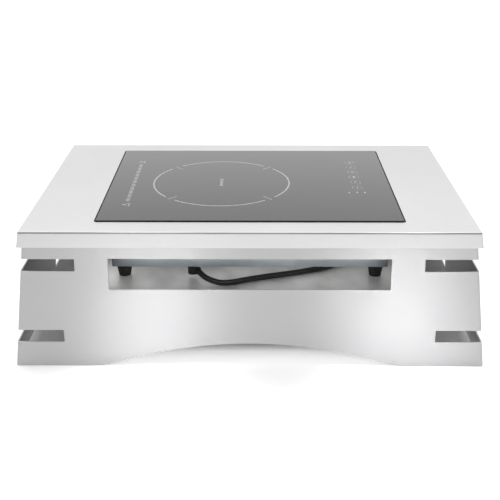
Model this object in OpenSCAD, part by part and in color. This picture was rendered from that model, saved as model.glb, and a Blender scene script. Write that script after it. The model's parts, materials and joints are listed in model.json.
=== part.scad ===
// Drop-in induction hot plate in a bent-steel buffet stand.
// Origin at the centre of the stand's footprint, +Z up, the front faces -Y. Millimetres.

/* [Stand] */
// Height of the stand's steel top above the table
stand_h = 164; // [150:1:200]
// Width of the top tray
tray_w = 521.5; // [500:0.5:560]
// Depth of the top tray
tray_d = 341.5; // [335:0.5:380]
// Height of the tray's folded apron
apron_h = 18; // [16:1:26]
// How far the apron flares out for every millimetre down
apron_slope = 0.15; // [0:0.01:0.2]
// Thickness of the stand's sheet steel
sheet = 1.5; // [1.2:0.1:2]
// How far each wall leans out for every millimetre down
wall_slope = 0.11; // [0.06:0.01:0.14]
// How far the walls sit inside the tray's edge, level with the apron's lower edge
wall_inset = 2.2; // [1.8:0.1:4]
// Outer bend radius of the corners between walls
corner_r = 2.5; // [1.8:0.1:4]

/* [Window, notches and arch] */
// Half width of the window in the front wall
window_half_w = 161.5; // [130:0.5:165]
// Top of the window above the table
window_top = 132; // [128:1:136]
// Height of the front window
window_h = 37; // [30:1:40]
// Height of the decorative notches that wrap round the corners
notch_h = 14.5; // [10:0.5:18]
// Bottom of the upper notches above the table
upper_notch_z = 117; // [112:0.5:120]
// Bottom of the lower notches above the table
lower_notch_z = 30.5; // [25:0.5:45]
// Half width of wall left between the upper notches
upper_notch_x = 199.5; // [180:0.5:215]
// Half width of wall left between the lower notches
lower_notch_x = 216; // [190:0.5:225]
// Half width of side wall left between its notches
side_notch_y = 30; // [25:1:90]
// Radius of the arch under the front and rear walls
arch_r = 515; // [470:5:540]
// Height of the arch at the middle
arch_h = 28.5; // [20:0.5:30]
// Radius that blends the arch into the flat edge
arch_blend_r = 120; // [30:5:140]

/* [Glass] */
// Width of the ceramic glass
glass_w = 357; // [350:1:364]
// Depth of the ceramic glass
glass_d = 276; // [270:1:284]
// Thickness of the ceramic glass
glass_t = 4; // [3.5:0.1:4.5]
// How far the glass stands above the steel top
glass_proud = 1.2; // [0.8:0.1:2]
// Width of the black sealant joint round the glass
seal_w = 1.6; // [0.5:0.1:2.2]

/* [Hob housing] */
// Width of the sheet-steel housing
housing_w = 330; // [320:1:332]
// Depth of the housing
housing_d = 244; // [236:1:246]
// Underside of the housing above the table
housing_z = 100; // [99:1:102]
// Thickness of the housing's sheet
housing_t = 1; // [0.8:0.1:1.2]
// Distance of the housing's feet from its middle, sideways
foot_x = 153; // [140:1:154]
// Distance of the housing's feet from its middle, front to back
foot_y = 102; // [95:1:108]
// Sideways place of the cooking zone's centre
coil_x = -37; // [-60:1:-30]
// Front-to-back place of the cooking zone's centre
coil_y = -2; // [-5:1:5]
// Outer radius of the induction coil
coil_r = 86; // [70:1:88]

/* [Cooling fan] */
// Side of the square fan frame
fan_size = 80; // [70:1:84]
// Depth of the fan frame
fan_h = 25; // [20:1:28]
// Number of fan blades
fan_blades = 7; // [5:1:9]
// Sideways place of the fan's axis
fan_x = 110; // [108:1:112]
// Front-to-back place of the fan's axis
fan_y = 62; // [58:1:63]

/* [Shelf] */
// Top of the inner shelf above the table
shelf_z = 81; // [80:0.5:82]
// Half width of the inner shelf
shelf_half_w = 240; // [200:1:245]
// Height of the shelf's folded flanges
shelf_flange_h = 12; // [8:1:20]

/* [Mains lead] */
// Diameter of the mains lead
cord_d = 7; // [6.5:0.1:7.5]
// Mean radius of the lead's stored coil
cord_coil_r = 38.5; // [35:0.5:39]
// Diameter of the plug's body
plug_d = 36; // [32:1:37]

/* [Hidden] */

$fn = 64;
lean = atan(wall_slope);
top_z = stand_h - sheet;
foot_half_w = tray_w / 2 - wall_inset + wall_slope * (stand_h - apron_h);
foot_half_d = tray_d / 2 - wall_inset + wall_slope * (stand_h - apron_h);
far = 700;
weld_gap = 0.02;

// Arch: the flat edge starts at arch_flat_x, and the blend meets the arch at arch_join.
arch_cy = arch_h - arch_r;
arch_flat_x = sqrt(pow(arch_r + arch_blend_r, 2) - pow(arch_blend_r - arch_cy, 2));
arch_share = arch_r / (arch_r + arch_blend_r);
arch_join = [arch_flat_x * arch_share, arch_cy + (arch_blend_r - arch_cy) * arch_share];

// Glass and its ledge
glass_top = stand_h + glass_proud;
glass_bottom = glass_top - glass_t;
glass_r = 2;
ledge_t = 1.5;
ledge_z = glass_bottom - 0.8 - ledge_t;
ledge_open_w = housing_w + 8;
ledge_open_d = housing_d + 8;
cut_w = glass_w + 2 * seal_w;
cut_d = glass_d + 2 * seal_w;

// Heights inside the housing
housing_top = glass_bottom;
floor_z = housing_z + housing_t;
blanket_t = 2;
winding_t = 4;
winding_z = glass_bottom - blanket_t - winding_t;
carrier_t = 6;
carrier_z = winding_z - carrier_t;
ferrite_h = 5;
ferrite_z = carrier_z - ferrite_h;
board_t = 1.6;
board_z = floor_z + 8;
board_x = 113;
board_y = -50;
board_w = 84;
board_d = 128;
control_x = 141;
control_y = 22;
control_z = glass_bottom - 9;
control_w = 44;
control_d = 140;
key_pitch = 21.2;
key_count = 6;

// Mains lead: round points along its middle, from the gland to the stored coil
lead_z = shelf_z + cord_d / 2 + 0.1;
table_z = cord_d / 2 + 0.1;
LEAD_ROUTE = [
  [-62, -120, 93.4], [-54, -127.8, 89.2], [-44, -132.5, 86.3], [-33, -134.5, lead_z],
  [-19, -132, lead_z], [0, -124, lead_z], [23, -115.6, lead_z], [46, -108.4, lead_z],
  [66, -101.2, lead_z], [83, -94.2, lead_z], [99, -85.6, lead_z], [114, -73.6, lead_z],
  [127, -58, lead_z], [133, -38, lead_z], [133, -16, lead_z], [130, 8, lead_z], [125, 34, lead_z],
  [119, 60, lead_z], [113, 86, lead_z], [107, 112, lead_z], [101, 138, lead_z], [96, 160, lead_z],
  [93, 176, lead_z], [92, 186, 83], [92, 195, 79.4], [92, 203, 73.8], [92, 208.6, 66],
  [92, 212.2, 56.5], [92, 213.8, 46.4], [92, 215, 32.4], [92, 218.4, 23], [92, 224, 14.6],
  [92, 231.3, 8.8], [92, 240, 5], [92, 250, table_z]
];
lead_coil_x = 92 - cord_coil_r - cord_d / 2;
lead_coil_y = 250;
coil_layers = 2;
plug_z = plug_d / 2;
plug_x = -8;
tail_y = lead_coil_y + cord_coil_r + cord_d / 2;
TAIL_ROUTE = [
  [lead_coil_x, tail_y, 10.8], [38, tail_y, 11.4], [26, tail_y, 13.2], [14, tail_y, 15.6],
  [3, tail_y, 17.4], [plug_x, tail_y, plug_z]
];
gland_turn = 49.5;
gland_tip = LEAD_ROUTE[0];
gland_len = 11;

// ---- shared shapes ----

// Flat outline with round corners
module round_rect(w, d, r) {
  square([w - 2 * r, d], center = true);
  square([w, d - 2 * r], center = true);
  for (x = [-1, 1], y = [-1, 1])
    translate([x * (w / 2 - r), y * (d / 2 - r)]) circle(r);
}

module round_slab(w, d, r, t) {
  linear_extrude(t) round_rect(w, d, r);
}

module at_corners(x, y) {
  for (i = [-1, 1], j = [-1, 1]) translate([i * x, j * y, 0]) children();
}

// Outline of the window, notches and arch, measured across the wall and up from the table
module notch_cuts(upper_x, lower_x) {
  for (side = [-1, 1]) {
    translate([side * (upper_x + far / 2), upper_notch_z + notch_h / 2])
      square([far, notch_h], center = true);
    translate([side * (lower_x + far / 2), lower_notch_z + notch_h / 2])
      square([far, notch_h], center = true);
  }
}

module arch_cut() {
  translate([0, arch_cy]) circle(arch_r, $fn = 256);
  difference() {
    polygon([
      [-arch_flat_x, -9], [-arch_flat_x, 0], [-arch_join[0], arch_join[1]],
      [arch_join[0], arch_join[1]], [arch_flat_x, 0], [arch_flat_x, -9]
    ]);
    for (side = [-1, 1]) translate([side * arch_flat_x, arch_blend_r]) circle(arch_blend_r);
  }
}

module window_cut(bottom) {
  translate([-window_half_w, bottom]) square([2 * window_half_w, window_top - bottom]);
}

// Leaning sheet facing -Y, whose outer face meets the table at y = -reach
module leaning_sheet(half_w, reach, low, high, thickness) {
  intersection() {
    translate([0, -reach, 0]) rotate([90 - lean, 0, 0]) translate([0, 0, -thickness])
      linear_extrude(thickness) difference() {
        translate([-half_w, -thickness]) square([2 * half_w, stand_h + 2 * thickness]);
        children();
      }
    translate([-half_w, -far, low]) cube([2 * half_w, far, high - low]);
  }
}

// Rounds the outer edge where two faces of one slope meet at +X, -Y
module corner_rounding(half_w, reach, slope, r) {
  angle = atan(slope);
  back = r / cos(angle);
  half_angle = acos(pow(sin(angle), 2)) / 2;
  reach_out = 4 * r;
  translate([half_w - back, back - reach, 0]) rotate([0, 0, -45])
    rotate([0, -atan(slope * sqrt(2)), 0]) translate([0, 0, -10])
      linear_extrude(stand_h + 30) difference() {
        polygon([
          [0, 0], [reach_out, -reach_out * tan(half_angle)], [reach_out, reach_out * tan(half_angle)]
        ]);
        circle(r);
      }
}

// One wall, mitred at both ends where it is welded to its neighbours
module wall(half_w, reach) {
  mitre = 45;
  difference() {
    intersection() {
      leaning_sheet(half_w, reach, 0, top_z, sheet) children();
      linear_extrude(stand_h) polygon([
        [-half_w, -reach], [half_w, -reach], [half_w - mitre, mitre - reach], [mitre - half_w, mitre - reach]
      ]);
    }
    corner_rounding(half_w, reach, wall_slope, corner_r);
    mirror([1, 0, 0]) corner_rounding(half_w, reach, wall_slope, corner_r);
  }
}

// Ring between two rounded outlines
module round_ring(outer_w, outer_d, outer_r, inner_w, inner_d, inner_r, t) {
  linear_extrude(t) difference() {
    round_rect(outer_w, outer_d, outer_r);
    round_rect(inner_w, inner_d, inner_r);
  }
}

// Sweep of a round section along a list of points
function unit(v) = v / norm(v);
function heading(path, i) =
  unit(path[min(i + 1, len(path) - 1)] - path[max(i - 1, 0)]);
function level(v) = unit(cross(v, [0, 0, 1]));
function side_of(v) = abs(v[2]) > 0.98 ? [1, 0, 0] : level(v);
function ring_at(path, i, r, sides) =
  let (along = heading(path, i), across = unit(cross(along, cross([-1, 0, 0], along))))
  let (side = norm(cross([1, 0, 0], along)) < 0.5 ? side_of(along) : across)
  let (over = cross(along, side))
  [for (k = [0 : sides - 1]) path[i] + r * (cos(360 * k / sides) * side + sin(360 * k / sides) * over)];

module tube_along(path, r, sides) {
  rings = [for (i = [0 : len(path) - 1]) each ring_at(path, i, r, sides)];
  last = (len(path) - 1) * sides;
  skin = [
    for (i = [0 : len(path) - 2], k = [0 : sides - 1])
      [i * sides + k, i * sides + (k + 1) % sides, (i + 1) * sides + (k + 1) % sides, (i + 1) * sides + k]
  ];
  start_cap = [[for (k = [sides - 1 : -1 : 0]) k]];
  end_cap = [[for (k = [0 : sides - 1]) last + k]];
  polyhedron(points = rings, faces = concat(skin, start_cap, end_cap), convexity = 10);
}

// ---- stand ----

module front_panel() {
  color("silver") wall(foot_half_w, foot_half_d) {
    window_cut(window_top - window_h);
    notch_cuts(upper_notch_x, lower_notch_x);
    arch_cut();
  }
}

// The rear window reaches down to the shelf, so that the lead passes straight out
module rear_panel() {
  color("silver") rotate([0, 0, 180]) wall(foot_half_w, foot_half_d) {
    window_cut(shelf_z);
    notch_cuts(upper_notch_x, lower_notch_x);
    arch_cut();
  }
}

module side_panel() {
  wall(foot_half_d, foot_half_w) notch_cuts(side_notch_y, side_notch_y);
}

module left_panel() {
  color("silver") rotate([0, 0, -90]) side_panel();
}

module right_panel() {
  color("silver") rotate([0, 0, 90]) side_panel();
}

// Block with flared sides and top edges rounded like a bend in sheet
module flared_block(w, d, h, r) {
  intersection() {
    rotate([90, 0, 0]) translate([0, 0, -far / 2]) linear_extrude(far) flared_outline(w, h, r);
    rotate([90, 0, 90]) translate([0, 0, -far / 2]) linear_extrude(far) flared_outline(d, h, r);
  }
}

// Section across a flared block: w is the width at the top, before the edges are rounded
module flared_outline(w, h, r) {
  flare = atan(apron_slope);
  round_x = w / 2 - r * (1 - sin(flare)) / cos(flare);
  side_x = round_x + r * cos(flare);
  side_z = h - r * (1 - sin(flare));
  low_x = w / 2 + apron_slope * h;
  polygon([[-low_x, 0], [low_x, 0], [side_x, side_z], [round_x, h], [-round_x, h], [-side_x, side_z]]);
  for (side = [-1, 1]) translate([side * round_x, h - r]) circle(r);
}

module tray_top() {
  bend_r = 2;
  flare = atan(apron_slope);
  inward = sheet * (1 / cos(flare) - apron_slope);
  table_half_w = tray_w / 2 + apron_slope * stand_h;
  table_half_d = tray_d / 2 + apron_slope * stand_h;
  color("gainsboro") difference() {
    translate([0, 0, stand_h - apron_h]) difference() {
      flared_block(tray_w, tray_d, apron_h, bend_r);
      translate([0, 0, -1])
        flared_block(tray_w - 2 * inward, tray_d - 2 * inward, apron_h - sheet + 1, bend_r - sheet);
      round_slab(cut_w, cut_d, glass_r + seal_w, apron_h + 1);
    }
    for (turn = [0, 180], flip = [0, 1]) rotate([0, 0, turn]) mirror([flip, 0, 0])
      corner_rounding(table_half_w, table_half_d, apron_slope, bend_r);
  }
}

// Joggled frame welded under the tray, on which the glass rests
module glass_ledge() {
  step = 6;
  rim = 18;
  color("silver") {
    translate([0, 0, ledge_z])
      round_ring(cut_w + 2 * step, cut_d + 2 * step, glass_r + step, ledge_open_w, ledge_open_d, 3, ledge_t);
    translate([0, 0, ledge_z + ledge_t])
      round_ring(cut_w + 2 * rim, cut_d + 2 * rim, glass_r + rim, cut_w + 2, cut_d + 2, glass_r + 1,
        top_z - ledge_z - ledge_t);
  }
}

bracket_x = 228;
bracket_reach = foot_half_d - wall_slope * stand_h;
bracket_leg = 18;

// Angle brackets welded inside the front and rear walls, hanging on the tray's studs
module corner_brackets() {
  width = 30;
  color("gray") for (turn = [0, 180], side = [-1, 1]) rotate([0, 0, turn]) translate([side * bracket_x, 0, 0]) {
    difference() {
      translate([-width / 2, sheet * 1.5 - bracket_reach, top_z - sheet - 0.1])
        cube([width, bracket_leg, sheet]);
      translate([0, 12 - bracket_reach, top_z - 5]) cylinder(r = 2.3, h = 10);
    }
    leaning_sheet(width / 2, foot_half_d - sheet / cos(lean) - weld_gap, top_z - sheet - 14, top_z - 0.1, sheet);
  }
}

module at_studs() {
  for (turn = [0, 180], side = [-1, 1]) rotate([0, 0, turn]) translate([side * bracket_x, 12 - bracket_reach, 0])
    children();
}

module tray_studs() {
  stud_len = 12;
  color("silver") at_studs() translate([0, 0, top_z - stud_len]) cylinder(r = 2, h = stud_len);
}

module stud_nuts() {
  nut_h = 3.2;
  color("gray") at_studs() translate([0, 0, top_z - sheet - 0.1 - nut_h]) difference() {
    cylinder(r = 4, h = nut_h, $fn = 6);
    translate([0, 0, -1]) cylinder(r = 2.02, h = nut_h + 2);
  }
}

// Shelf that carries the hob, with its front and rear flanges welded to the walls
module inner_shelf() {
  reach = foot_half_d - sheet / cos(lean) - weld_gap;
  edge = reach - wall_slope * shelf_z - sheet / 2;
  low = shelf_z - shelf_flange_h;
  color("lightgray") difference() {
    union() {
      translate([-shelf_half_w, -edge, shelf_z - sheet]) cube([2 * shelf_half_w, 2 * edge, sheet]);
      for (turn = [0, 180]) rotate([0, 0, turn])
        leaning_sheet(shelf_half_w, reach, low, shelf_z - sheet / 4, sheet);
      for (side = [-1, 1])
        translate([side * (shelf_half_w - sheet / 2), 0, (low + shelf_z) / 2 - sheet / 4])
          cube([sheet, 2 * edge, shelf_flange_h - sheet / 2], center = true);
    }
    // air holes under the fan
    for (i = [-3 : 3])
      translate([fan_x + i * 12, fan_y, shelf_z - 3]) linear_extrude(5) slot(5, 60);
  }
}

// Straight slot with round ends, along Y
module slot(w, length) {
  square([w, length - w], center = true);
  for (end = [-1, 1]) translate([0, end * (length - w) / 2]) circle(w / 2);
}

// ---- glass ----

module glass_plate() {
  bevel = 0.6;
  color([0.12, 0.13, 0.14]) translate([0, 0, glass_bottom]) {
    round_slab(glass_w, glass_d, glass_r, glass_t - bevel);
    round_slab(glass_w - 2 * bevel, glass_d - 2 * bevel, glass_r - bevel, glass_t);
  }
}

// Sealant: a bed under the glass and a joint round its edge
module glass_seal() {
  bed_z = ledge_z + ledge_t;
  color([0.03, 0.03, 0.03]) {
    translate([0, 0, bed_z])
      round_ring(cut_w, cut_d, glass_r + seal_w, housing_w + 12, housing_d + 12, 3, glass_bottom - bed_z);
    translate([0, 0, glass_bottom])
      round_ring(cut_w, cut_d, glass_r + seal_w, glass_w, glass_d, glass_r, stand_h + 0.3 - glass_bottom);
  }
}

// ---- housing ----

module intake_slots() {
  for (i = [-3 : 3])
    translate([fan_x + i * 10, fan_y]) slot(5, 66 - 3 * abs(i));
}

module housing_pan() {
  corner = 2;
  gland_root = gland_tip - gland_len * [cos(gland_turn), -sin(gland_turn), 0];
  color([0.62, 0.66, 0.72]) difference() {
    translate([0, 0, housing_z]) round_slab(housing_w, housing_d, corner, housing_top - housing_z);
    translate([0, 0, floor_z])
      round_slab(housing_w - 2 * housing_t, housing_d - 2 * housing_t, corner - housing_t, far);
    translate([0, 0, housing_z - 1]) linear_extrude(4) intake_slots();
    // outlet louvres in the rear wall
    for (i = [0 : 11])
      translate([-140 + i * 16, housing_d / 2 - 3, housing_z + 14]) cube([8, 6, 30]);
    // outlet louvres in the left wall
    for (i = [0 : 5])
      translate([-housing_w / 2 - 3, -60 + i * 20, housing_z + 14]) cube([6, 10, 30]);
    at_corners(foot_x, foot_y) translate([0, 0, housing_z - 1]) cylinder(r = 2.2, h = 4);
    translate([gland_root[0], gland_root[1], housing_z - 1]) cylinder(r = 5, h = 4);
  }
}

// Inward tabs at the rim, by which the housing is screwed to the glass frame
module housing_tabs() {
  tab = 14;
  color([0.62, 0.66, 0.72]) for (turn = [0, 180], x = [-90, 90]) rotate([0, 0, turn])
    translate([x, -housing_d / 2 + housing_t, housing_top - 2]) difference() {
      union() {
        translate([-tab / 2, 0, -10]) cube([tab, 1.2, 12]);
        translate([-tab / 2, 0, 0.8]) cube([tab, 10, 1.2]);
      }
      translate([0, -1, -5]) rotate([-90, 0, 0]) cylinder(r = 1.6, h = 4);
    }
}

module tab_screws() {
  color("gray") for (turn = [0, 180], x = [-90, 90]) rotate([0, 0, turn])
    translate([x, -housing_d / 2 + housing_t + 1.2, housing_top - 7]) rotate([-90, 0, 0]) {
      cylinder(r = 3, h = 2);
      translate([0, 0, -1.2]) cylinder(r = 1.55, h = 1.3);
    }
}

// Tapered rubber feet that stand on the shelf
module hob_feet() {
  foot_h = housing_z - shelf_z;
  color([0.05, 0.05, 0.05]) at_corners(foot_x, foot_y) translate([0, 0, shelf_z]) difference() {
    cylinder(r1 = 7.2, r2 = 10.4, h = foot_h);
    translate([0, 0, -1]) cylinder(r = 4.2, h = 7);
    translate([0, 0, -1]) cylinder(r = 2.1, h = foot_h + 2);
  }
}

module foot_screws() {
  head_z = shelf_z + 6;
  color("gray") at_corners(foot_x, foot_y) {
    translate([0, 0, head_z - 2.4]) cylinder(r = 3.8, h = 2.4);
    translate([0, 0, head_z - 0.1]) cylinder(r = 2, h = 18);
  }
}

// ---- induction coil ----

module heat_blanket() {
  color("white") translate([coil_x, coil_y, glass_bottom - blanket_t]) difference() {
    cylinder(r = coil_r + 4, h = blanket_t - 0.2);
    translate([0, 0, -1]) cylinder(r = 8, h = 5);
  }
}

module coil_winding() {
  groove = 1;
  color([0.72, 0.38, 0.2]) translate([coil_x, coil_y, winding_z]) difference() {
    cylinder(r = coil_r, h = winding_t - 0.2);
    translate([0, 0, -1]) cylinder(r = 26, h = winding_t + 2);
    for (r = [36 : 10 : coil_r - 6])
      translate([0, 0, winding_t - 1.2]) ring(r, r - groove, 2);
  }
}

module ring(outer, inner, h) {
  difference() {
    cylinder(r = outer, h = h);
    translate([0, 0, -1]) cylinder(r = inner, h = h + 2);
  }
}

module coil_carrier() {
  arm = 12;
  color([0.2, 0.2, 0.2]) translate([coil_x, coil_y, carrier_z]) difference() {
    union() {
      ring(coil_r + 2, coil_r - 8, carrier_t);
      ring(30, 14, carrier_t);
      for (i = [0 : 5]) rotate([0, 0, 60 * i + 30])
        translate([24, -arm / 2, 0]) cube([coil_r - 30, arm, carrier_t]);
    }
    for (i = [0 : 3]) rotate([0, 0, 90 * i + 45])
      translate([coil_r - 3, 0, -1]) cylinder(r = 2, h = carrier_t + 2);
  }
}

module ferrite_bars() {
  color([0.25, 0.25, 0.27]) translate([coil_x, coil_y, ferrite_z])
    for (i = [0 : 5]) rotate([0, 0, 60 * i + 30]) translate([28, -7, 0]) cube([48, 14, ferrite_h]);
}

// Sprung posts that press the coil against the glass
module coil_posts() {
  color("gray") translate([coil_x, coil_y, 0]) for (i = [0 : 3]) rotate([0, 0, 90 * i + 45])
    translate([coil_r - 3, 0, 0]) {
      translate([0, 0, floor_z]) cylinder(r = 4, h = carrier_z - floor_z);
      translate([0, 0, carrier_z - 0.1]) cylinder(r = 1.9, h = carrier_t);
    }
}

module pan_sensor() {
  color("white") translate([coil_x, coil_y, 0]) {
    translate([0, 0, carrier_z]) cylinder(r = 13.5, h = 4);
    translate([0, 0, carrier_z + 3.9]) cylinder(r = 5, h = glass_bottom - carrier_z - 4.1);
  }
}

// ---- electronics ----

module power_board() {
  color([0.1, 0.35, 0.2]) translate([board_x, board_y, board_z]) difference() {
    translate([-board_w / 2, -board_d / 2, 0]) cube([board_w, board_d, board_t]);
    at_corners(board_w / 2 - 4, board_d / 2 - 4) translate([0, 0, -1]) cylinder(r = 1.6, h = 4);
  }
}

module board_standoffs() {
  color("gold") translate([board_x, board_y, 0]) at_corners(board_w / 2 - 4, board_d / 2 - 4) {
    translate([0, 0, floor_z]) cylinder(r = 3, h = board_z - floor_z);
    translate([0, 0, board_z - 0.1]) cylinder(r = 1.5, h = board_t + 1);
  }
}

// Finned block in the fan's air stream
module heatsink() {
  sink_h = 30;
  base = 6;
  color("silver") translate([88, -20, board_z + board_t]) difference() {
    translate([-12, -40, 0]) cube([44, 46, sink_h]);
    for (i = [0 : 5]) translate([-5 + i * 6.2, -41, base]) cube([3.6, 48, sink_h]);
  }
}

module power_transistor() {
  color([0.08, 0.08, 0.08]) translate([120, -50, board_z + board_t]) {
    cube([5, 16, 21]);
    for (i = [0 : 2]) translate([1.8, 2 + i * 5.4, -board_t - 2]) cube([1, 1.2, 4]);
  }
}

module bridge_rectifier() {
  color([0.08, 0.08, 0.08]) translate([120, -28, board_z + board_t]) {
    cube([4.5, 20, 18]);
    for (i = [0 : 3]) translate([1.8, 1.5 + i * 5, -board_t - 2]) cube([1, 1.2, 4]);
  }
}

module film_capacitors() {
  color([0.75, 0.6, 0.15]) for (y = [-106, -88])
    translate([78, y, board_z + board_t]) cube([32, 15, 26]);
}

module line_choke() {
  color([0.65, 0.35, 0.15]) translate([134, -76, board_z + board_t + 8])
    rotate_extrude() translate([9, 0]) circle(5, $fn = 32);
}

module terminal_block() {
  color("white") translate([114, -108, board_z + board_t]) difference() {
    cube([34, 14, 15]);
    for (i = [0 : 2]) translate([6 + i * 11, 7, 6]) cylinder(r = 3, h = 12);
  }
}

// Two stiff leads from the coil's edge to the power board
module coil_leads() {
  color("darkred") for (y = [-58, -46]) {
    translate([48, y, board_z + board_t + 1.5]) rotate([0, 90, 0]) cylinder(r = 1.5, h = 26);
    translate([48, y, board_z + board_t]) cylinder(r = 1.5, h = winding_z - board_z - board_t + 3);
  }
}

// ---- fan ----

fan_hole_r = fan_size / 2 - 2;
hub_r = 15;
axle_r = 1.5;

module fan_frame() {
  color([0.1, 0.1, 0.1]) translate([fan_x, fan_y, floor_z]) {
    difference() {
      round_slab(fan_size, fan_size, 4, fan_h);
      translate([0, 0, -1]) cylinder(r = fan_hole_r, h = fan_h + 2);
      at_corners(fan_size / 2 - 4.5, fan_size / 2 - 4.5) translate([0, 0, -1]) cylinder(r = 2.1, h = fan_h + 2);
    }
    // spokes that carry the motor
    for (i = [0 : 3]) rotate([0, 0, 90 * i + 20])
      translate([hub_r - 1, -2, 0]) cube([fan_hole_r - hub_r + 1.5, 4, 3]);
    difference() {
      cylinder(r = hub_r, h = 3);
      translate([0, 0, -1]) cylinder(r = 5, h = 5);
    }
  }
}

// Stator with the axle that the rotor turns on
module fan_motor() {
  color("gray") translate([fan_x, fan_y, floor_z]) {
    cylinder(r = 4.9, h = 5);
    translate([0, 0, 4]) cylinder(r = 9, h = 9);
    translate([0, 0, 12]) cylinder(r = axle_r, h = 8.5);
  }
}

module fan_rotor() {
  cup_z = 4;
  cup_h = 19;
  color([0.15, 0.15, 0.15]) translate([fan_x, fan_y, floor_z + cup_z]) {
    difference() {
      cylinder(r = hub_r, h = cup_h);
      translate([0, 0, -1]) cylinder(r = 11, h = 11.5);
      translate([0, 0, -1]) cylinder(r = axle_r + 0.05, h = cup_h - 1);
    }
    intersection() {
      ring(fan_hole_r - 1.2, hub_r - 0.5, cup_h);
      for (i = [0 : fan_blades - 1]) rotate([0, 0, 360 * i / fan_blades])
        translate([(fan_hole_r + hub_r) / 2, 0, cup_h / 2]) rotate([38, 0, 0])
          cube([fan_hole_r - hub_r + 4, 1.4, 40], center = true);
    }
  }
}

module fan_screws() {
  color("gray") translate([fan_x, fan_y, 0]) at_corners(fan_size / 2 - 4.5, fan_size / 2 - 4.5) {
    translate([0, 0, floor_z + fan_h]) cylinder(r = 3.6, h = 2.2);
    translate([0, 0, floor_z + fan_h - 20]) cylinder(r = 2, h = 20.1);
  }
}

// Hood that turns the fan's air towards the heatsink
module air_duct() {
  hood_w = 76;
  hood_z = floor_z + fan_h + 3;
  hood_h = 12;
  color([0.12, 0.12, 0.12]) translate([fan_x, fan_y, hood_z]) difference() {
    translate([-hood_w / 2, -hood_w / 2, 0]) cube([hood_w, hood_w, hood_h]);
    translate([-hood_w / 2 + 1.5, -hood_w / 2 - 1, -1]) cube([hood_w - 3, hood_w - 0.5, hood_h - 0.5]);
  }
}

// ---- controls ----

function key_y(i) = control_y + (i - (key_count - 1) / 2) * key_pitch + 8;

module control_board() {
  color([0.1, 0.35, 0.2]) translate([control_x - control_w / 2, control_y - control_d / 2, control_z])
    cube([control_w - 10, control_d, board_t]);
}

module control_tray() {
  wall_t = 1.5;
  color([0.9, 0.9, 0.88]) translate([control_x - control_w / 2 - 2, control_y - control_d / 2 - 2, control_z - 3])
    difference() {
      cube([control_w - 6, control_d + 4, 7]);
      translate([wall_t, wall_t, wall_t + 1]) cube([control_w - 6 - 2 * wall_t, control_d + 4 - 2 * wall_t, 9]);
    }
}

// Touch electrodes pressed against the glass
module touch_springs() {
  color("gold") for (i = [0 : key_count - 1])
    translate([control_x - 5, key_y(i), control_z + board_t])
      cylinder(r = 4.5, h = glass_bottom - control_z - board_t);
}

module display_lamps() {
  color("red") for (i = [-1 : 1])
    translate([control_x - 7 + i * 10, control_y - 62, control_z + board_t]) cylinder(r = 1.8, h = 5);
}

module ribbon_cable() {
  color("lightgray") translate([control_x - 20, 10, board_z + board_t])
    cube([16, 1, control_z - board_z - board_t - 4]);
}

// ---- mains lead ----

// Angled strain relief under the housing: a block through the floor and a tapered boot
module lead_gland() {
  root = [gland_tip[0] - gland_len * cos(gland_turn), gland_tip[1] + gland_len * sin(gland_turn)];
  color([0.04, 0.04, 0.04]) {
    translate([root[0], root[1], housing_z - 13]) cylinder(r = 5.8, h = 13);
    translate([root[0], root[1], housing_z - 1]) cylinder(r = 4.9, h = 5);
    translate([root[0], root[1], gland_tip[2]]) rotate([0, 0, -gland_turn]) rotate([0, 90, 0]) {
      cylinder(r1 = 5.4, r2 = 4.5, h = gland_len);
      for (i = [1 : 2]) translate([0, 0, 1.5 + 3.5 * i]) cylinder(r = 5.7 - 0.3 * i, h = 1.4);
    }
  }
}

module mains_lead() {
  color([0.05, 0.05, 0.05]) tube_along(LEAD_ROUTE, cord_d / 2, 10);
}

// Outer shape of the stored coil
module lead_coil() {
  half = cord_d;
  color([0.05, 0.05, 0.05]) translate([lead_coil_x, lead_coil_y, 0])
    ring(cord_coil_r + half, cord_coil_r - half, coil_layers * cord_d + 0.2);
}

module lead_tail() {
  color([0.05, 0.05, 0.05]) tube_along(TAIL_ROUTE, cord_d / 2, 10);
}

// Hook-and-loop strap round the coil
module lead_tie() {
  over = 1.2;
  width = 12;
  high = coil_layers * cord_d + 0.2 + over;
  color([0.1, 0.1, 0.1]) translate([lead_coil_x - cord_coil_r, lead_coil_y, 0]) difference() {
    translate([-cord_d - over, -width / 2, 0]) cube([2 * (cord_d + over), width, high]);
    translate([-cord_d, -width, -1]) cube([2 * cord_d, 2 * width, high - over + 1]);
  }
}

module plug_body() {
  body_len = 34;
  color([0.05, 0.05, 0.05]) translate([plug_x, tail_y, plug_z]) rotate([0, -90, 0]) {
    cylinder(r1 = 5, r2 = 7.5, h = 22);
    translate([0, 0, 20]) cylinder(r1 = 12, r2 = plug_d / 2, h = 10);
    translate([0, 0, 30]) cylinder(r = plug_d / 2, h = body_len - 10);
  }
}

module plug_pins() {
  pin_spacing = 19;
  color("silver") for (side = [-1, 1])
    translate([plug_x - 54, tail_y + side * pin_spacing / 2, plug_z]) rotate([0, -90, 0]) {
      cylinder(r = 2.4, h = 17.5);
      translate([0, 0, 17.5]) cylinder(r1 = 2.4, r2 = 1.2, h = 2.5);
    }
}

front_panel();
rear_panel();
left_panel();
right_panel();
tray_top();
glass_ledge();
corner_brackets();
tray_studs();
stud_nuts();
inner_shelf();
glass_plate();
glass_seal();
housing_pan();
housing_tabs();
tab_screws();
hob_feet();
foot_screws();
heat_blanket();
coil_winding();
coil_carrier();
ferrite_bars();
coil_posts();
pan_sensor();
power_board();
board_standoffs();
heatsink();
power_transistor();
bridge_rectifier();
film_capacitors();
line_choke();
terminal_block();
coil_leads();
fan_frame();
fan_motor();
fan_rotor();
fan_screws();
air_duct();
control_board();
control_tray();
touch_springs();
display_lamps();
ribbon_cable();
lead_gland();
mains_lead();
lead_coil();
lead_tail();
lead_tie();
plug_body();
plug_pins();
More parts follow.
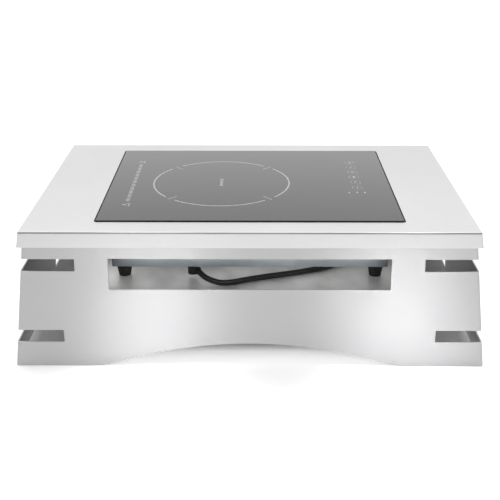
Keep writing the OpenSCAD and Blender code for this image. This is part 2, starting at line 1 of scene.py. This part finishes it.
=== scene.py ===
"""Looks of a glass-topped induction hot plate in a bent-steel buffet stand.

Metres throughout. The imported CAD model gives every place: the front faces -Y and +Z is up.
"""
import json
import math

import bmesh
import bpy
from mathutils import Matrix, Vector


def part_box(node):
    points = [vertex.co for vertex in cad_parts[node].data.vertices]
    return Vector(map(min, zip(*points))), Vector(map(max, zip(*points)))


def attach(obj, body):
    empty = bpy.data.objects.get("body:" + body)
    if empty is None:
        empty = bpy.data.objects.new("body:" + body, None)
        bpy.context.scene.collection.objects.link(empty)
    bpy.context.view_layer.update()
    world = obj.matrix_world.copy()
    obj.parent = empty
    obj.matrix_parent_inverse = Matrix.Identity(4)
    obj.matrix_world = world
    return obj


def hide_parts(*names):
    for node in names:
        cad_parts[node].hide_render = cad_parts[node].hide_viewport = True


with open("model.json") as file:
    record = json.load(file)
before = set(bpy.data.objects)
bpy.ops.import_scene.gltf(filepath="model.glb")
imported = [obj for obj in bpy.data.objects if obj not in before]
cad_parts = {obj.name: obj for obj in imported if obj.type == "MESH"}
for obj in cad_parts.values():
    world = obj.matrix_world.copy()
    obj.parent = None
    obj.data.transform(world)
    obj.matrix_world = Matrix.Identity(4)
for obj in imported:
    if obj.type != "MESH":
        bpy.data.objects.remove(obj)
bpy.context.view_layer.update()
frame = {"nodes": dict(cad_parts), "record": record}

NODES = frame["nodes"]
SCENE = bpy.context.scene
STAND = "stand_and_hob"

GLASS_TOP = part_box("glass_plate")[1].z
TRAY_LOW, TRAY_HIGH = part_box("tray_top")
FOOT_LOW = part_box("front_panel")[0]
SHELF_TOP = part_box("inner_shelf")[1].z


# ---- node helpers ----

def new_material(name):
    material = bpy.data.materials.new(name)
    material.use_nodes = True
    return material, material.node_tree, material.node_tree.nodes["Principled BSDF"]


def coordinates(tree, kind="Object"):
    """X, Y and Z of the object's own coordinates, or of the direction in a world."""
    place = tree.nodes.new("ShaderNodeTexCoord")
    parts = tree.nodes.new("ShaderNodeSeparateXYZ")
    tree.links.new(place.outputs[kind], parts.inputs[0])
    return parts.outputs


def noise(tree, scale, detail=2.0):
    """Noise over the object's own coordinates, scale being cycles per metre each way."""
    place = tree.nodes.new("ShaderNodeTexCoord")
    stretch = tree.nodes.new("ShaderNodeMapping")
    stretch.inputs["Scale"].default_value = scale
    texture = tree.nodes.new("ShaderNodeTexNoise")
    texture.inputs["Scale"].default_value = 1.0
    texture.inputs["Detail"].default_value = detail
    tree.links.new(place.outputs["Object"], stretch.inputs["Vector"])
    tree.links.new(stretch.outputs["Vector"], texture.inputs["Vector"])
    return texture.outputs["Fac"]


def maths(tree, operation, first, second=None):
    """Result of a maths node, whose second value may be a number."""
    node = tree.nodes.new("ShaderNodeMath")
    node.operation = operation
    tree.links.new(first, node.inputs[0])
    if isinstance(second, bpy.types.NodeSocket):
        tree.links.new(second, node.inputs[1])
    elif second is not None:
        node.inputs[1].default_value = second
    return node.outputs[0]


def spread(tree, value, low, high, start=0.3, end=0.7):
    """The value stretched from start..end to low..high."""
    node = tree.nodes.new("ShaderNodeMapRange")
    for name, number in (("From Min", start), ("From Max", end), ("To Min", low), ("To Max", high)):
        node.inputs[name].default_value = number
    tree.links.new(value, node.inputs["Value"])
    return node.outputs["Result"]


def tint(tree, value, dark, light):
    """From dark to light as the value goes from 0 to 1, each a colour or another node's result."""
    node = tree.nodes.new("ShaderNodeMix")
    node.data_type = "RGBA"
    for name, colour in (("A", dark), ("B", light)):
        if isinstance(colour, bpy.types.NodeSocket):
            tree.links.new(colour, node.inputs[name])
        else:
            node.inputs[name].default_value = (*colour, 1)
    tree.links.new(value, node.inputs["Factor"])
    return node.outputs["Result"]


def add_bump(tree, shader, height, distance):
    node = tree.nodes.new("ShaderNodeBump")
    node.inputs["Distance"].default_value = distance
    tree.links.new(height, node.inputs["Height"])
    tree.links.new(node.outputs["Normal"], shader.inputs["Normal"])


# ---- camera and floor ----

def add_camera():
    """Camera in front of and above the stand, looking down on it."""
    pitch, turn = math.radians(23.31), math.radians(0.26)
    aside, ahead, above = 0.0046, 0.9175, 0.3752
    camera = bpy.data.objects.new("camera", bpy.data.cameras.new("camera"))
    camera.data.sensor_width = 36.0
    camera.data.lens = 63.96
    camera.data.clip_end = 50.0
    camera.location = (aside, TRAY_LOW.y - ahead, TRAY_HIGH.z + above)
    camera.rotation_euler = (math.pi / 2 - pitch, 0, turn)
    SCENE.collection.objects.link(camera)
    SCENE.camera = camera


def add_floor():
    """Plain pale table top, far wider than any view of it."""
    half = 14.0
    mesh = bpy.data.meshes.new("floor")
    mesh.from_pydata([(x, y, 0) for x, y in rectangle((0, 0), (2 * half, 2 * half))], [], [(0, 1, 2, 3)])
    floor = bpy.data.objects.new("floor", mesh)
    SCENE.collection.objects.link(floor)
    mesh.materials.append(floor_material())


def floor_material():
    """Matt white, with painted light: an emission that keeps the ground outside the stand white and is cut off
    under the stand as a painted shade.
    """
    material, tree, shader = new_material("pale_floor")
    tone = spread(tree, noise(tree, (3, 3, 3)), 0.90, 0.93)
    grey = tree.nodes.new("ShaderNodeCombineColor")
    for channel in range(3):
        tree.links.new(tone, grey.inputs[channel])
    tree.links.new(grey.outputs[0], shader.inputs["Base Color"])
    shader.inputs["Roughness"].default_value = 0.6
    shader.inputs["Specular IOR Level"].default_value = 0.15
    shader.inputs["Emission Color"].default_value = (1, 1, 1, 1)
    # Painted light and shade: the floor emits light outside the stand and stays unlit under it.
    painted_light_strength, fade = 0.36, 0.018
    painted_light = spread(tree, outside_painted_shade(tree), 0.0, painted_light_strength, -fade, 0.0)
    tree.links.new(painted_light, shader.inputs["Emission Strength"])
    return material


def outside_painted_shade(tree):
    """Metres outside the part of the floor where the emission is cut off, a painted shade under the stand that
    stops short of its arches.
    """
    past_sides, short_of_arches = 0.004, 0.034
    place = coordinates(tree)
    gaps = [maths(tree, "SUBTRACT", maths(tree, "ABSOLUTE", place[axis]), half)
            for axis, half in (("X", -FOOT_LOW.x + past_sides), ("Y", -FOOT_LOW.y - short_of_arches))]
    return maths(tree, "MAXIMUM", *gaps)


# ---- light ----

def add_world():
    """White studio that lights the stand from behind, most of all low down, and less from in front.

    The camera sees it as plain white.
    """
    world = bpy.data.worlds.new("studio")
    SCENE.world = world
    world.use_nodes = True
    tree = world.node_tree
    direction = coordinates(tree, "Generated")
    behind = spread(tree, direction["Y"], 0.22, 1.25, -0.3, 0.4)
    low = spread(tree, direction["Z"], 1.08, 0.84, 0.29, 0.37)
    seen = tree.nodes.new("ShaderNodeLightPath").outputs["Is Camera Ray"]
    sky = tree.nodes["Background"]
    sky.inputs["Color"].default_value = (1, 1, 1, 1)
    strength = maths(tree, "MAXIMUM", maths(tree, "MULTIPLY", behind, low), seen)
    tree.links.new(strength, sky.inputs["Strength"])


def add_area_light(name, place, turn, size, watts, beam=180):
    """Soft light that the camera does not see, with its size across and along and its beam in degrees."""
    data = bpy.data.lights.new(name, "AREA")
    data.shape = "RECTANGLE"
    data.size, data.size_y = size
    data.energy = watts
    data.spread = math.radians(beam)
    light = bpy.data.objects.new(name, data)
    light.location = place
    light.rotation_euler = turn
    light.visible_camera = False
    SCENE.collection.objects.link(light)


def add_box_light(name, place, aim, size, watts):
    """Area light that faces a point."""
    turn = (Vector(aim) - Vector(place)).to_track_quat("-Z", "Y").to_euler()
    add_area_light(name, place, turn, size, watts)


def add_fill(name, place, size, watts):
    """Small light inside the stand that shines straight down."""
    add_box_light(name, place, (place[0], place[1], 0), size, watts)


def add_floor_strip(name, near, far, width, watts):
    """Long narrow light over the floor in front, which the front wall mirrors as a bright band."""
    height, beam = 0.30, 40
    run = Vector(far) - Vector(near)
    middle = (Vector(far) + Vector(near)) / 2
    turn = (0, 0, math.atan2(run.y, run.x) - math.pi / 2)
    add_area_light(name, (*middle, height), turn, (width, run.length), watts, beam)


def add_lights():
    """Three studio boxes, the fills in the window, over the shelf and under the arch, and two strips."""
    add_box_light("top_box", (0, 0.35, 1.7), (0, 0.35, 0), (2.4, 1.6), 16)
    add_box_light("rear_box", (0, 2.6, 2.8), (0, 2.2, 0), (5.0, 3.0), 30)
    add_box_light("front_box", (0, -1.9, 1.1), (0, -0.15, 0.1), (1.8, 0.9), 9)
    add_box_light("window_fill", (0, -0.160, 0.112), (0, -0.05, 0.105), (0.30, 0.006), 0.035)
    add_fill("shelf_fill", (0.02, -0.088, 0.0985), (0.33, 0.065), 0.018)
    add_fill("left_fill", (-0.160, -0.088, 0.0985), (0.06, 0.065), 0.0075)
    add_fill("arch_fill", (0, -0.172, 0.020), (0.32, 0.006), 0.013)
    add_floor_strip("left_strip", (-0.112, -0.20), (-0.20, -1.05), 0.10, 0.62)
    add_floor_strip("right_strip", (0.18, -0.20), (0.30, -1.05), 0.08, 0.72)


# ---- materials ----

def tones(colour, variation, lift=0.0):
    """The colour a little darker and a little lighter."""
    return [c * (1 - variation) for c in colour], [min(1.0, c * (1 + variation) + lift) for c in colour]


def steel(name, colour, roughness, grain, variation=0.03, bump=0.00002, brushed=0.0, metallic=1.0,
          clouds=(5, 5, 5)):
    """Rolled steel. grain is the noise scale, low along the grain and high across it, clouds that of its tone.

    brushed is how far a level grain smears reflections up and down.
    """
    material, tree, shader = new_material(name)
    fine = noise(tree, grain, 3.0)
    cloud = noise(tree, clouds)
    tree.links.new(tint(tree, spread(tree, cloud, 0, 1), *tones(colour, variation)),
                   shader.inputs["Base Color"])
    tree.links.new(spread(tree, fine, roughness * 0.85, roughness * 1.15), shader.inputs["Roughness"])
    shader.inputs["Metallic"].default_value = metallic
    add_bump(tree, shader, fine, bump)
    if brushed:
        facing = tree.nodes.new("ShaderNodeNewGeometry")
        level = tree.nodes.new("ShaderNodeVectorMath")
        level.operation = "CROSS_PRODUCT"
        level.inputs[1].default_value = (0, 0, 1)
        tree.links.new(facing.outputs["Normal"], level.inputs[0])
        tree.links.new(level.outputs["Vector"], shader.inputs["Tangent"])
        shader.inputs["Anisotropic"].default_value = brushed
        shader.inputs["Anisotropic Rotation"].default_value = 0.25
    return material


def plain(name, colour, roughness, grain=(900, 900, 900), variation=0.12, bump=0.00004, metallic=0.0,
          gloss=0.5):
    """Moulded, cast or coated surface with a fine grain and slight wear."""
    material, tree, shader = new_material(name)
    shader.inputs["Specular IOR Level"].default_value = gloss
    fine = noise(tree, grain)
    cloud = noise(tree, (25, 25, 25), 3.0)
    tree.links.new(tint(tree, spread(tree, cloud, 0, 1), *tones(colour, variation, 0.004)),
                   shader.inputs["Base Color"])
    tree.links.new(spread(tree, cloud, roughness * 0.85, min(1.0, roughness * 1.15)),
                   shader.inputs["Roughness"])
    shader.inputs["Metallic"].default_value = metallic
    add_bump(tree, shader, fine, bump)
    return material


def tray_material():
    """Satin steel of the tray, with painted shade as a dark band along the bend and painted light that makes
    the folded apron paler than the flat top.
    """
    # The apron's paler grey is painted light, and the bend's dark grey is painted shade.
    top_grey, apron_painted_light_grey, bend_painted_shade_grey = (0.535,) * 3, (0.69,) * 3, (0.30,) * 3
    apron_drop, top_drop = 0.003, 0.001
    bend_drop, bend_core, bend_reach = 0.0011, 0.0004, 0.0010
    material = steel("tray_satin", top_grey, 0.40, (900, 1100, 900), bump=0.000006)
    tree = material.node_tree
    base = tree.nodes["Principled BSDF"].inputs["Base Color"]
    top_colour = base.links[0].from_socket
    height = coordinates(tree)["Z"]
    on_top = spread(tree, height, 0, 1, TRAY_HIGH.z - apron_drop, TRAY_HIGH.z - top_drop)
    colour = tint(tree, on_top, apron_painted_light_grey, top_colour)
    # Painted shade: a dark band along the bend.
    off_bend = maths(tree, "ABSOLUTE", maths(tree, "SUBTRACT", height, TRAY_HIGH.z - bend_drop))
    painted_shade_on_bend = spread(tree, off_bend, 1, 0, bend_core, bend_reach)
    tree.links.new(tint(tree, painted_shade_on_bend, colour, bend_painted_shade_grey), base)
    return material


def glass_material():
    """Black glass-ceramic: polished, with the faintest waviness and wiping marks."""
    material, tree, shader = new_material("black_glass")
    wipe = noise(tree, (14, 60, 14), 3.0)
    wave = noise(tree, (30, 30, 30), 1.0)
    speck = noise(tree, (700, 700, 700), 1.0)
    tree.links.new(tint(tree, spread(tree, speck, 0, 1), (0.019, 0.019, 0.020), (0.027, 0.027, 0.028)),
                   shader.inputs["Base Color"])
    tree.links.new(spread(tree, wipe, 0.05, 0.11), shader.inputs["Roughness"])
    shader.inputs["IOR"].default_value = 1.62
    add_bump(tree, shader, wave, 0.00003)
    return material


def print_material():
    """Pale grey ceramic ink, a little thin in places."""
    material, tree, shader = new_material("ceramic_ink")
    thin = noise(tree, (600, 600, 600))
    tree.links.new(tint(tree, spread(tree, thin, 0, 1), (0.30, 0.31, 0.32), (0.44, 0.45, 0.46)),
                   shader.inputs["Base Color"])
    shader.inputs["Roughness"].default_value = 0.35
    add_bump(tree, shader, thin, 0.00002)
    return material


def slot_materials():
    """Material of each slot in the record."""
    return {
        "wall_steel": steel("wall_satin", (0.485, 0.485, 0.49), 0.34, (60, 60, 1600), brushed=0.8),
        "tray_steel": tray_material(),
        "inner_steel": steel("inner_brushed", (0.84, 0.835, 0.82), 0.42, (25, 1400, 1400), 0.19, 0.00004,
                             metallic=0.6, clouds=(26, 15, 26)),
        "fixing_steel": steel("zinc_plate", (0.62, 0.62, 0.64), 0.35, (500, 500, 500), 0.08),
        "ceramic_glass": glass_material(),
        "sealant": plain("black_silicone", (0.008, 0.008, 0.008), 0.85, gloss=0.06),
        "galvanised": steel("galvanised_sheet", (0.42, 0.455, 0.475), 0.42, (60, 60, 60), 0.12, 0.00003),
        "black_rubber": plain("black_rubber", (0.008, 0.008, 0.009), 0.62, gloss=0.3),
        "blanket": plain("ceramic_felt", (0.84, 0.83, 0.79), 0.95, (400, 400, 400), 0.05, 0.0002),
        "copper_wire": plain("litz_copper", (0.62, 0.26, 0.13), 0.35, (300, 300, 300), 0.2, 0.0001, 1.0),
        "black_plastic": plain("black_moulding", (0.03, 0.03, 0.032), 0.5),
        "ferrite": plain("ferrite", (0.09, 0.09, 0.10), 0.7),
        "circuit_board": plain("solder_mask", (0.02, 0.17, 0.07), 0.35, (300, 300, 300), 0.25),
        "sink_aluminium": steel("extruded_aluminium", (0.80, 0.80, 0.82), 0.32, (1200, 40, 1200)),
        "component_black": plain("component_epoxy", (0.025, 0.025, 0.025), 0.4),
        "component_yellow": plain("dipped_film", (0.68, 0.48, 0.06), 0.3),
        "red_sleeve": plain("red_sleeve", (0.42, 0.02, 0.015), 0.5),
        "white_plastic": plain("white_moulding", (0.82, 0.82, 0.79), 0.5, variation=0.03),
        "brass_metal": plain("plated_brass", (0.80, 0.60, 0.28), 0.3, metallic=1.0),
        "lamp_red": plain("lamp_epoxy", (0.55, 0.02, 0.015), 0.2),
        "ribbon": plain("flat_cable", (0.58, 0.58, 0.60), 0.45, (1200, 40, 40)),
        "lead_sheath": plain("lead_sheath", (0.005, 0.005, 0.006), 0.34, (1200, 1200, 1200), gloss=0.3),
        "strap_cloth": plain("hook_and_loop", (0.02, 0.02, 0.02), 0.95, (1500, 1500, 1500), 0.3, 0.0003),
        "pin_metal": steel("nickel_plate", (0.80, 0.79, 0.76), 0.16, (400, 400, 400)),
    }


def dress_cad(materials):
    """Gives each CAD node the material of its own slot."""
    for part in frame["record"]["subparts"]:
        mesh = NODES[part["node"]].data
        mesh.materials.clear()
        mesh.materials.append(materials[part["material_slot"]])


# ---- flat outlines ----

def arc(centre, radius, start, end, steps):
    """Points along an arc, angles in degrees."""
    angles = [math.radians(start + (end - start) * i / steps) for i in range(steps + 1)]
    return [(centre[0] + radius * math.cos(a), centre[1] + radius * math.sin(a)) for a in angles]


def circle(centre, radius, count=48):
    """Points once round a circle."""
    return arc(centre, radius, 0, 360 - 360 / count, count - 1)


def rectangle(centre, size, turn=0.0):
    """Corners of a rectangle, turned by an angle in degrees."""
    c, s = math.cos(math.radians(turn)), math.sin(math.radians(turn))
    corners = [(i * size[0] / 2, j * size[1] / 2) for i, j in ((-1, -1), (1, -1), (1, 1), (-1, 1))]
    return [(centre[0] + x * c - y * s, centre[1] + x * s + y * c) for x, y in corners]


# ---- printed marks on the glass ----

PRINT_LOW = GLASS_TOP - 0.00005
PRINT_HIGH = GLASS_TOP + 0.00003
RING_CENTRE = (-0.037, -0.002)
RING_RADIUS = 0.0871
KEY_X = 0.136
KEY_PITCH = 0.0209
KEY_MIDDLE = 0.030
KEY_COUNT = 6


def add_patch(work, outline):
    """Closed layer of ink over an outline that goes round once."""
    bottom = [work.verts.new((x, y, PRINT_LOW)) for x, y in outline]
    top = [work.verts.new((x, y, PRINT_HIGH)) for x, y in outline]
    count = len(outline)
    work.faces.new(bottom[::-1])
    work.faces.new(top)
    for i in range(count):
        work.faces.new((bottom[i], bottom[(i + 1) % count], top[(i + 1) % count], top[i]))


def add_band(work, inner, outer, closed):
    """Closed layer of ink between two lines of as many points, as a ring or an open strip."""
    rows = [[work.verts.new((x, y, z)) for x, y in line]
            for line, z in ((inner, PRINT_LOW), (outer, PRINT_LOW), (outer, PRINT_HIGH), (inner, PRINT_HIGH))]
    count = len(inner)
    for side in range(4):
        row, following = rows[side], rows[(side + 1) % 4]
        for i in range(count if closed else count - 1):
            j = (i + 1) % count
            work.faces.new((row[i], row[j], following[j], following[i]))
    if not closed:
        work.faces.new([row[0] for row in rows])
        work.faces.new([row[-1] for row in rows][::-1])


def cooking_ring(work):
    """Four arcs with gaps on the diagonals, and a short radial tick in each gap."""
    width, gap, steps = 0.0018, 5.6, 40
    tick, tick_inset = (0.0150, 0.0011), 0.004
    for quarter in range(4):
        start = 90 * quarter - 45 + gap
        end = start + 90 - 2 * gap
        add_band(work, arc(RING_CENTRE, RING_RADIUS - width / 2, start, end, steps),
                 arc(RING_CENTRE, RING_RADIUS + width / 2, start, end, steps), False)
        middle = 90 * quarter + 45
        place = arc(RING_CENTRE, RING_RADIUS - tick_inset, middle, middle, 1)[0]
        add_patch(work, rectangle(place, tick, middle))


def centre_mark(work):
    """Plain block of bars at the middle of the zone."""
    count, pitch, bar = 7, 0.0042, (0.0042, 0.0021)
    for i in range(count):
        place = (RING_CENTRE[0], RING_CENTRE[1] + (i - count // 2) * pitch)
        add_patch(work, rectangle(place, bar))


def side_marks(work):
    """Broken line of fine cross bars along the left edge, with a plain triangle outline at each end."""
    x, low, high = -0.1495, -0.0735, 0.0745
    blocks, bars, pitch, bar = 11, 9, 0.00125, (0.0046, 0.0007)
    block = (high - low) / blocks
    for i in range(blocks * bars):
        y = low + block * (i // bars) + pitch * (i % bars + 1)
        add_patch(work, rectangle((x, y), bar))
    for y in (-0.085, 0.084):
        outline = [(x - 0.0055, y), (x + 0.0042, y - 0.0052), (x + 0.0042, y + 0.0052)]
        inside = [(x - 0.0032, y), (x + 0.0032, y - 0.0034), (x + 0.0032, y + 0.0034)]
        add_band(work, inside, outline, True)


def key_place(index):
    return KEY_X, KEY_MIDDLE + (index - (KEY_COUNT - 1) / 2) * KEY_PITCH


def key_rings(work):
    """Thin ring round each touch key."""
    inner, outer = 0.0063, 0.0067
    for index in range(KEY_COUNT):
        add_band(work, circle(key_place(index), inner), circle(key_place(index), outer), True)


def key_icons(work):
    """Generic symbols of one or two bars, and three lamp windows below."""
    def bar(index, size, turn=0.0, offset=(0.0, 0.0)):
        x, y = key_place(index)
        add_patch(work, rectangle((x + offset[0], y + offset[1]), size, turn))

    bar(0, (0.0009, 0.0064))
    bar(1, (0.0034, 0.0011))
    bar(1, (0.0011, 0.0034), 0, (0, 0.0034))
    bar(2, (0.0026, 0.0056))
    bar(3, (0.0050, 0.0016), -55)
    bar(4, (0.0015, 0.0056))
    bar(5, (0.0042, 0.0014), 0, (0, 0.0016))
    bar(5, (0.0044, 0.0014), -60, (0.0004, -0.0022))
    window, window_row = (0.0018, 0.0050), (KEY_X - 0.0018, -0.0405)
    for aside in (-0.0100, 0.0, 0.0095):
        add_patch(work, rectangle((window_row[0] + aside, window_row[1]), window))


def add_print(name, build, ink):
    """One printed mark, from a function that fills a bmesh."""
    work = bmesh.new()
    build(work)
    bmesh.ops.recalc_face_normals(work, faces=work.faces)
    mesh = bpy.data.meshes.new(name)
    work.to_mesh(mesh)
    work.free()
    mesh.materials.append(ink)
    piece = bpy.data.objects.new(name, mesh)
    SCENE.collection.objects.link(piece)
    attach(piece, STAND)


def add_prints():
    ink = print_material()
    for name, build in (("print_ring", cooking_ring), ("print_centre", centre_mark),
                        ("print_side", side_marks), ("print_keys", key_rings), ("print_icons", key_icons)):
        add_print(name, build, ink)


# ---- mains lead ----

LEAD_D = 0.007
LEAD_Z = SHELF_TOP + 0.0036
LEAD_ROUTE = [
    (-0.062, -0.120, 0.0934), (-0.054, -0.1278, 0.0892), (-0.044, -0.1325, 0.0863),
    (-0.033, -0.1345, LEAD_Z), (-0.019, -0.132, LEAD_Z), (0.0, -0.124, LEAD_Z), (0.023, -0.1156, LEAD_Z),
    (0.046, -0.1084, LEAD_Z), (0.066, -0.1012, LEAD_Z), (0.083, -0.0942, LEAD_Z), (0.099, -0.0856, LEAD_Z),
    (0.114, -0.0736, LEAD_Z), (0.127, -0.058, LEAD_Z), (0.133, -0.038, LEAD_Z), (0.133, -0.016, LEAD_Z),
    (0.130, 0.008, LEAD_Z), (0.125, 0.034, LEAD_Z), (0.119, 0.060, LEAD_Z), (0.113, 0.086, LEAD_Z),
    (0.107, 0.112, LEAD_Z), (0.101, 0.138, LEAD_Z), (0.096, 0.160, LEAD_Z), (0.093, 0.176, LEAD_Z),
    (0.092, 0.186, 0.083), (0.092, 0.195, 0.0794), (0.092, 0.203, 0.0738), (0.092, 0.2086, 0.066),
    (0.092, 0.2122, 0.0565), (0.092, 0.2138, 0.0464), (0.092, 0.215, 0.0324), (0.092, 0.2184, 0.023),
    (0.092, 0.224, 0.0146), (0.092, 0.2313, 0.0088), (0.092, 0.240, 0.005), (0.092, 0.250, 0.0036),
]
TAIL_ROUTE = [
    (0.050, 0.292, 0.0108), (0.038, 0.292, 0.0114), (0.026, 0.292, 0.0132), (0.014, 0.292, 0.0156),
    (0.003, 0.292, 0.0174), (-0.008, 0.292, 0.018),
]


def ease(value, start, end):
    """0 before start, 1 after end and smooth between them."""
    t = min(1.0, max(0.0, (value - start) / (end - start)))
    return t * t * (3 - 2 * t)


def coil_turns():
    """Three and a quarter turns, two side by side and two above: out, in, up, and out again."""
    step, last = 15, 1155
    move_in, move_up, move_out = (290, 380), (610, 700), (940, 1030)
    gap = 0.0001
    low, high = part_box("lead_coil")
    middle = (low + high) / 2
    outer = (high.x - low.x) / 2 - LEAD_D / 2
    points = []
    for degrees in range(step, last + step, step):
        inward = ease(degrees, *move_in) - ease(degrees, *move_out)
        radius = outer - LEAD_D * inward
        height = LEAD_D / 2 + gap + (LEAD_D + gap) * ease(degrees, *move_up)
        angle = math.radians(degrees)
        points.append((middle.x + radius * math.cos(angle), middle.y + radius * math.sin(angle), height))
    return points


def smooth_line(points, steps=4):
    """Catmull-Rom line through the points."""
    path = [Vector(p) for p in points]
    path = [2 * path[0] - path[1]] + path + [2 * path[-1] - path[-2]]
    line = []
    for a, b, c, d in zip(path, path[1:], path[2:], path[3:]):
        for i in range(steps):
            t = i / steps
            line.append(0.5 * (2 * b + (c - a) * t + (2 * a - 5 * b + 4 * c - d) * t ** 2
                               + (3 * b - a - 3 * c + d) * t ** 3))
    return line + [path[-2]]


def add_lead(sheath):
    """The whole lead as one curve, from the strain relief to the plug."""
    line = smooth_line(LEAD_ROUTE + coil_turns() + TAIL_ROUTE)
    curve = bpy.data.curves.new("mains_lead_run", "CURVE")
    curve.dimensions = "3D"
    curve.bevel_depth = LEAD_D / 2
    curve.bevel_resolution = 6
    curve.use_fill_caps = True
    spline = curve.splines.new("POLY")
    spline.points.add(len(line) - 1)
    for point, place in zip(spline.points, line):
        point.co = (*place, 1)
    lead = bpy.data.objects.new("mains_lead_run", curve)
    SCENE.collection.objects.link(lead)
    curve.materials.append(sheath)
    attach(lead, STAND)
    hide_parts("mains_lead", "lead_coil", "lead_tail")


# ---- the scene ----

add_camera()
add_world()
add_lights()

slots = slot_materials()
dress_cad(slots)
add_floor()
add_lead(slots["lead_sheath"])
add_prints()

SCENE.view_settings.view_transform = "Standard"
